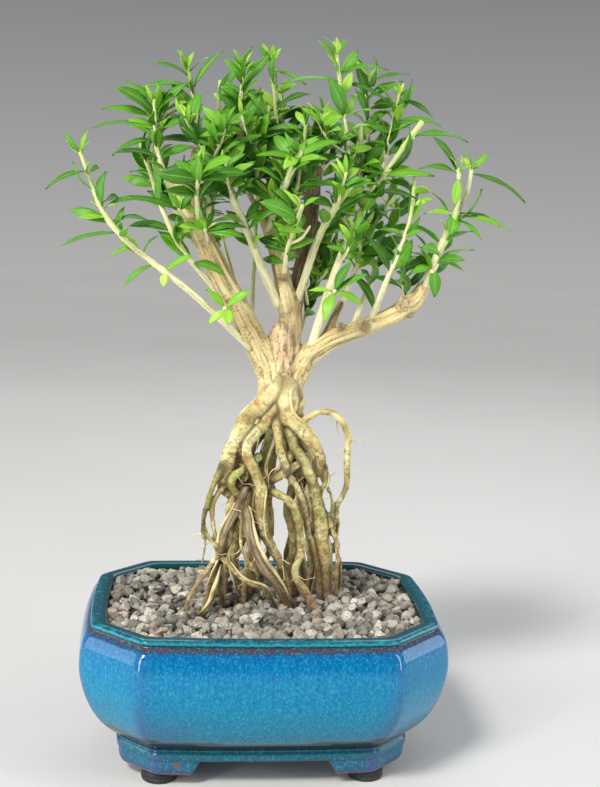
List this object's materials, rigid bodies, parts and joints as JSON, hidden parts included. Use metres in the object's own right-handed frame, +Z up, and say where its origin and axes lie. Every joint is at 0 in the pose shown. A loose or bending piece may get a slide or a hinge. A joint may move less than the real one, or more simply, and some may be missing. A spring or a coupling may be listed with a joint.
{
  "type": "serissa bonsai in a pot",
  "caption": "Root-over-air serissa bonsai with a short trunk, pruned limbs and fine leafy shoots, in a canted rectangular blue glazed pot on corner feet.",
  "frame": {"origin": "middle of the whole object's box in plan, on the surface that the pads stand on", "axes": "+X to the viewer's right along the pot's long side, +Y away from the viewer, +Z up"},
  "size_m": [0.2046, 0.1264, 0.317],
  "materials": {
    "glaze": "gloss blue and turquoise running glaze",
    "rubber": "matt black",
    "screen": "matt black",
    "gravel": "rough, loose",
    "bark": "rough fibrous bark and smoother roots",
    "shoot": "fresh green leaves, satin, on pale green stems"
  },
  "bodies": {
    "root": {"pot": "glaze", "rubber_pad_front_left": "rubber", "rubber_pad_front_right": "rubber", "rubber_pad_back_left": "rubber", "rubber_pad_back_right": "rubber", "drain_screen_left": "screen", "drain_screen_right": "screen", "soil": "gravel", "tree_wood": "bark", "shoot_low_left": "shoot", "shoot_left_inner": "shoot", "shoot_left_top": "shoot", "shoot_top_left": "shoot", "shoot_main": "shoot", "sprig_front_left": "shoot", "sprig_limb_top": "shoot", "sprig_limb_low": "shoot", "shoot_middle_thin": "shoot", "shoot_middle_back": "shoot", "shoot_middle_cut": "shoot", "shoot_centre": "shoot", "shoot_centre_right": "shoot", "shoot_front": "shoot", "shoot_fork": "shoot", "shoot_right_slim": "shoot", "shoot_right_green": "shoot", "shoot_right_low": "shoot", "shoot_far": "shoot", "shoot_left_cross": "shoot", "shoot_left_thin": "shoot", "shoot_back_low": "shoot", "shoot_front_low_left": "shoot", "shoot_front_low_middle": "shoot", "shoot_back_right": "shoot", "shoot_back_middle": "shoot", "shoot_back_left": "shoot", "shoot_back_low_right": "shoot", "shoot_back_low_left": "shoot", "shoot_back_centre": "shoot"}
  },
  "joints": []
}
